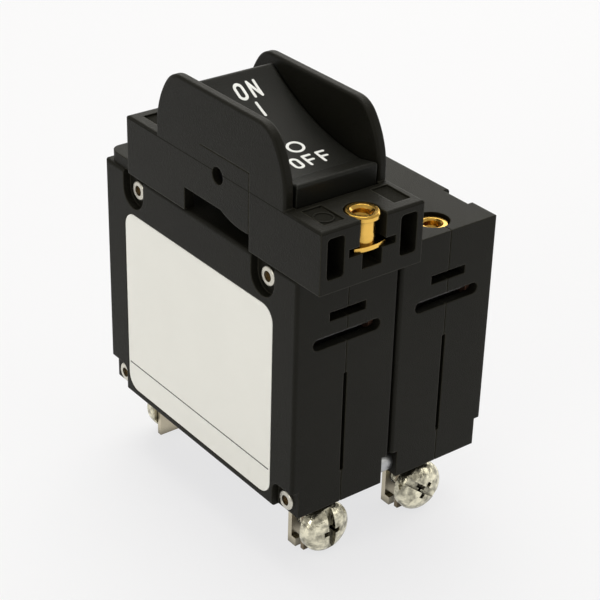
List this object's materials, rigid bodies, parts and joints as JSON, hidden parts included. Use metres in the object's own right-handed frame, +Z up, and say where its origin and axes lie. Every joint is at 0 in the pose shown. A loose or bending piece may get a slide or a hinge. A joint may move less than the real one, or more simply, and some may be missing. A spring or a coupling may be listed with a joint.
{
  "type": "rocker circuit breaker",
  "caption": "Two-pole rocker circuit breaker with guard walls beside the rocker, threaded panel inserts and screw terminals below.",
  "frame": {"origin": "on the ground plane under the middle of the whole breaker's outline, where its four terminal tabs stand", "axes": "+X across the poles from the labelled pole to the bare one, +Y from the line end under the bezel's nose to the load end, +Z up out of the panel"},
  "size_m": [0.0386, 0.0564, 0.0745],
  "materials": {
    "case_plastic": "fine moulded texture, warm charcoal",
    "bezel_plastic": "fine moulded texture, slightly polished edges",
    "rocker_plastic": "fine stipple with white printed on and off marks",
    "label_film": "satin white film",
    "rivet_metal": "bright nickel",
    "insert_brass": "turned, bright",
    "pin_steel": "ground",
    "screw_nickel": "bright nickel, slightly yellow",
    "tab_metal": "tin-plated copper, satin",
    "arm_copper": "plain copper",
    "contact_silver": "silver",
    "magnet_steel": "zinc-plated steel",
    "bobbin_nylon": "natural nylon",
    "winding_copper": "enamelled copper wire",
    "tube_brass": "drawn",
    "fibre_board": "vulcanised fibre",
    "shaft_plastic": "phenolic",
    "braid_copper": "braided bare copper"
  },
  "bodies": {
    "breaker_body": {"case_a_outer": "case_plastic", "case_a_inner": "case_plastic", "case_b_inner": "case_plastic", "case_b_outer": "case_plastic", "rating_label": "label_film", "case_rivets": "rivet_metal", "rivet_spacers": "magnet_steel", "case_inserts": "insert_brass", "rocker_bezel": "bezel_plastic", "bezel_inserts": "insert_brass", "rocker_pin": "pin_steel", "fixed_contacts": "contact_silver", "clamp_plates": "screw_nickel", "terminal_screws": "screw_nickel", "line_terminal_a": "tab_metal", "load_terminal_a": "tab_metal", "magnet_frame_a": "magnet_steel", "coil_bobbin_a": "bobbin_nylon", "coil_winding_a": "winding_copper", "delay_tube_a": "tube_brass", "arc_plates_a": "magnet_steel", "arc_sides_a": "fibre_board", "braid_a": "braid_copper", "line_terminal_b": "tab_metal", "load_terminal_b": "tab_metal", "magnet_frame_b": "magnet_steel", "coil_bobbin_b": "bobbin_nylon", "coil_winding_b": "winding_copper", "delay_tube_b": "tube_brass", "arc_plates_b": "magnet_steel", "arc_sides_b": "fibre_board", "braid_b": "braid_copper"},
    "rocker": {"rocker": "rocker_plastic"},
    "toggle_link": {"toggle_link": "magnet_steel"},
    "contact_shaft": {"contact_shaft": "shaft_plastic", "contact_arm_a": "arm_copper", "contact_arm_b": "arm_copper", "moving_contacts": "contact_silver"},
    "armature_a": {"armature_a": "magnet_steel"},
    "delay_core_a": {"delay_core_a": "magnet_steel"},
    "armature_b": {"armature_b": "magnet_steel"},
    "delay_core_b": {"delay_core_b": "magnet_steel"}
  },
  "joints": [
    {"name": "rocker_tilt", "type": "hinge", "parent": "breaker_body", "child": "rocker", "pos_m": [-0.01, -0.00347, 0.0622], "axis": [-1, 0, 0], "range_deg": [0, 30]},
    {"name": "link_swing", "type": "hinge", "parent": "rocker", "child": "toggle_link", "pos_m": [-0.00975, 0.00041, 0.04771], "axis": [1, 0, 0], "range_deg": [0, 83.2]},
    {"name": "contact_swing", "type": "hinge", "parent": "breaker_body", "child": "contact_shaft", "pos_m": [0, 0.01052, 0.0377], "axis": [1, 0, 0], "range_deg": [0, 11.75]},
    {"name": "armature_a_pull", "type": "hinge", "parent": "breaker_body", "child": "armature_a", "pos_m": [-0.00975, -0.00337, 0.0161], "axis": [-1, 0, 0], "range_deg": [0, 6], "stiffness_Nm_per_rad": 0.01, "springref_deg": -5.73},
    {"name": "delay_core_a_slide", "type": "slide", "parent": "breaker_body", "child": "delay_core_a", "axis": [0, -1, 0], "range_m": [0, 0.009], "stiffness_N_per_m": 12, "springref_m": -0.002},
    {"name": "armature_b_pull", "type": "hinge", "parent": "breaker_body", "child": "armature_b", "pos_m": [0.00975, -0.00337, 0.0161], "axis": [-1, 0, 0], "range_deg": [0, 6], "stiffness_Nm_per_rad": 0.01, "springref_deg": -5.73},
    {"name": "delay_core_b_slide", "type": "slide", "parent": "breaker_body", "child": "delay_core_b", "axis": [0, -1, 0], "range_m": [0, 0.009], "stiffness_N_per_m": 12, "springref_m": -0.002}
  ],
  "couplings": [
    {"joint": "link_swing", "follows": "rocker_tilt", "ratio": 2.7672},
    {"joint": "contact_swing", "follows": "rocker_tilt", "ratio": 0.38948}
  ]
}
